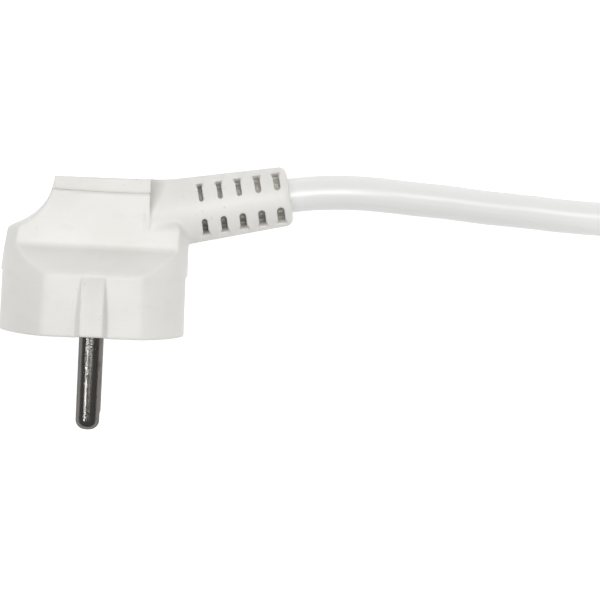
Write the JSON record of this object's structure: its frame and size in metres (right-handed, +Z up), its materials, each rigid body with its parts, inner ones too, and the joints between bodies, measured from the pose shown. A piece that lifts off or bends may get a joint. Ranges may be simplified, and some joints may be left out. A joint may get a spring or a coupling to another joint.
{
  "type": "extension cord",
  "caption": "White three-core extension cord with an angled side-entry plug, a ringed strain relief and an inline socket; its spare length is a tied hank.",
  "frame": {"origin": "on the surface that the plug lies on, under the middle of the plug (the object without its cord)", "axes": "+X along the cord away from the plug, +Y from the pins' tips towards the top of the plug, +Z up; the line of the pins is vertical"},
  "size_m": [0.3791, 0.0639, 0.0478],
  "materials": {
    "white_pvc": "matt moulded soft PVC with a fine spark texture",
    "insert_white": "satin hard thermoplastic",
    "shutter_grey": "satin hard thermoplastic",
    "cord_white": "smooth extruded PVC sheath with a slight sheen",
    "nickel": "bright nickel plate over turned brass",
    "brass": "plain stamped brass",
    "spring_steel": "drawn spring wire",
    "core_brown": "extruded core insulation",
    "core_blue": "extruded core insulation",
    "core_green_yellow": "extruded core insulation with a yellow stripe",
    "tie_black": "woven hook-and-loop strap"
  },
  "bodies": {
    "lead": {"plug_overmould": "white_pvc", "plug_relief": "white_pvc", "pin_bridge": "insert_white", "live_pin": "nickel", "neutral_pin": "nickel", "earth_strap": "nickel", "earth_sleeve": "nickel", "plug_ferrules": "brass", "plug_live_core": "core_brown", "plug_neutral_core": "core_blue", "plug_earth_core": "core_green_yellow", "plug_sheath_end": "cord_white", "cord_lead": "cord_white", "cord_hank": "cord_white", "cord_tail": "cord_white", "cord_tie": "tie_black", "socket_casing": "white_pvc", "socket_insert": "insert_white", "socket_contact_block": "insert_white", "shutter_spring": "spring_steel", "live_contact": "brass", "neutral_contact": "brass", "socket_earth_bracket": "nickel", "socket_ferrules": "brass", "socket_live_core": "core_brown", "socket_neutral_core": "core_blue", "socket_earth_core": "core_green_yellow", "socket_sheath_end": "cord_white", "socket_relief": "white_pvc"},
    "shutter": {"socket_shutter": "shutter_grey"}
  },
  "joints": [
    {"name": "shutter_slide", "type": "slide", "parent": "lead", "child": "shutter", "axis": [0, 0, 1], "range_m": [0, 0.006], "stiffness_N_per_m": 150, "springref_m": -0.005, "deforming": ["shutter_spring"]}
  ]
}
